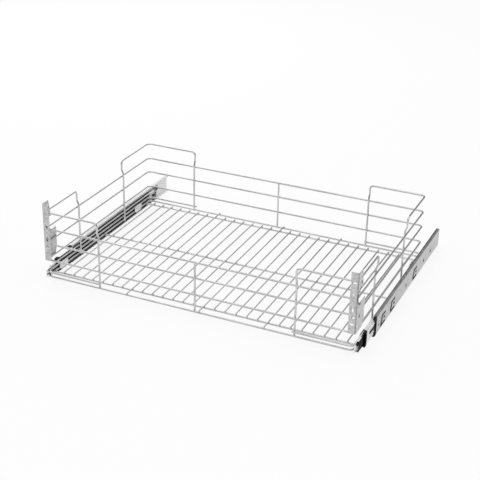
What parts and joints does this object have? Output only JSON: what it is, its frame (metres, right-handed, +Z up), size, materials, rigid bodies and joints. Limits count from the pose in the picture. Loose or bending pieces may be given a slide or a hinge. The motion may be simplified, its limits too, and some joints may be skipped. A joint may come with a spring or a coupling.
{
  "type": "pull-out pot drawer",
  "caption": "Wire basket pot drawer that slides out of a base cabinet on a pair of full-extension ball bearing slides, with brackets for a front panel.",
  "frame": {"origin": "midway between the slides, midway front to rear, level with the slides' lower edge", "axes": "+X to the right across the cabinet, +Y into the cabinet, +Z up"},
  "size_m": [0.8624, 0.6804, 0.225],
  "materials": {
    "chrome_wire": "plated wire, satin bright",
    "slide_steel": "bright zinc plated, rolled",
    "bracket_steel": "dull zinc plated, stamped",
    "plate_steel": "plated, stamped",
    "cage_steel": "zinc plated strip",
    "ball_steel": "polished, greased",
    "fastener_steel": "zinc plated",
    "black_plastic": "moulded, fine grain"
  },
  "bodies": {
    "cabinet_side": {"left_cabinet_member": "slide_steel", "left_front_stop": "black_plastic", "right_cabinet_member": "slide_steel", "right_front_stop": "black_plastic"},
    "drawer": {"bottom_ring": "chrome_wire", "lower_rail": "chrome_wire", "middle_rail": "chrome_wire", "upper_rail": "chrome_wire", "left_side_wire": "chrome_wire", "right_side_wire": "chrome_wire", "front_left_loop": "chrome_wire", "rear_left_loop": "chrome_wire", "front_right_loop": "chrome_wire", "rear_right_loop": "chrome_wire", "front_centre_post": "chrome_wire", "rear_centre_post": "chrome_wire", "front_cross_wire": "chrome_wire", "middle_cross_wire": "chrome_wire", "rear_cross_wire": "chrome_wire", "floor_wires": "chrome_wire", "long_floor_wires": "chrome_wire", "left_drawer_member": "slide_steel", "left_lever_rivet": "fastener_steel", "left_mounting_plates": "plate_steel", "left_slide_screws": "fastener_steel", "left_front_bracket": "bracket_steel", "right_drawer_member": "slide_steel", "right_lever_rivet": "fastener_steel", "right_mounting_plates": "plate_steel", "right_slide_screws": "fastener_steel", "right_front_bracket": "bracket_steel"},
    "left_middle": {"left_middle_member": "slide_steel", "left_middle_stop": "black_plastic", "left_catch": "black_plastic", "left_rear_stop": "black_plastic"},
    "left_outer_bearing": {"left_outer_cage": "cage_steel", "left_outer_balls": "ball_steel"},
    "left_inner_bearing": {"left_inner_cage": "cage_steel", "left_inner_balls": "ball_steel"},
    "left_lever": {"left_release_lever": "black_plastic"},
    "right_middle": {"right_middle_member": "slide_steel", "right_middle_stop": "black_plastic", "right_catch": "black_plastic", "right_rear_stop": "black_plastic"},
    "right_outer_bearing": {"right_outer_cage": "cage_steel", "right_outer_balls": "ball_steel"},
    "right_inner_bearing": {"right_inner_cage": "cage_steel", "right_inner_balls": "ball_steel"},
    "right_lever": {"right_release_lever": "black_plastic"}
  },
  "joints": [
    {"name": "drawer_slide", "type": "slide", "parent": "cabinet_side", "child": "drawer", "axis": [0, -1, 0], "range_m": [-0.129, 0.421]},
    {"name": "left_middle_slide", "type": "slide", "parent": "cabinet_side", "child": "left_middle", "axis": [0, -1, 0], "range_m": [-0.0645, 0.2105]},
    {"name": "left_outer_bearing_slide", "type": "slide", "parent": "cabinet_side", "child": "left_outer_bearing", "axis": [0, -1, 0], "range_m": [-0.03225, 0.10525]},
    {"name": "left_inner_bearing_slide", "type": "slide", "parent": "left_middle", "child": "left_inner_bearing", "axis": [0, -1, 0], "range_m": [-0.03225, 0.10525]},
    {"name": "left_lever_hinge", "type": "hinge", "parent": "drawer", "child": "left_lever", "pos_m": [-0.4231, -0.24175, 0.0255], "axis": [1, 0, 0], "range_deg": [-3, 3]},
    {"name": "right_middle_slide", "type": "slide", "parent": "cabinet_side", "child": "right_middle", "axis": [0, -1, 0], "range_m": [-0.0645, 0.2105]},
    {"name": "right_outer_bearing_slide", "type": "slide", "parent": "cabinet_side", "child": "right_outer_bearing", "axis": [0, -1, 0], "range_m": [-0.03225, 0.10525]},
    {"name": "right_inner_bearing_slide", "type": "slide", "parent": "right_middle", "child": "right_inner_bearing", "axis": [0, -1, 0], "range_m": [-0.03225, 0.10525]},
    {"name": "right_lever_hinge", "type": "hinge", "parent": "drawer", "child": "right_lever", "pos_m": [0.4231, -0.24175, 0.0255], "axis": [1, 0, 0], "range_deg": [-3, 3]}
  ],
  "couplings": [
    {"joint": "left_middle_slide", "follows": "drawer_slide", "ratio": 0.5},
    {"joint": "left_outer_bearing_slide", "follows": "drawer_slide", "ratio": 0.25},
    {"joint": "left_inner_bearing_slide", "follows": "drawer_slide", "ratio": 0.25},
    {"joint": "right_middle_slide", "follows": "drawer_slide", "ratio": 0.5},
    {"joint": "right_outer_bearing_slide", "follows": "drawer_slide", "ratio": 0.25},
    {"joint": "right_inner_bearing_slide", "follows": "drawer_slide", "ratio": 0.25}
  ]
}
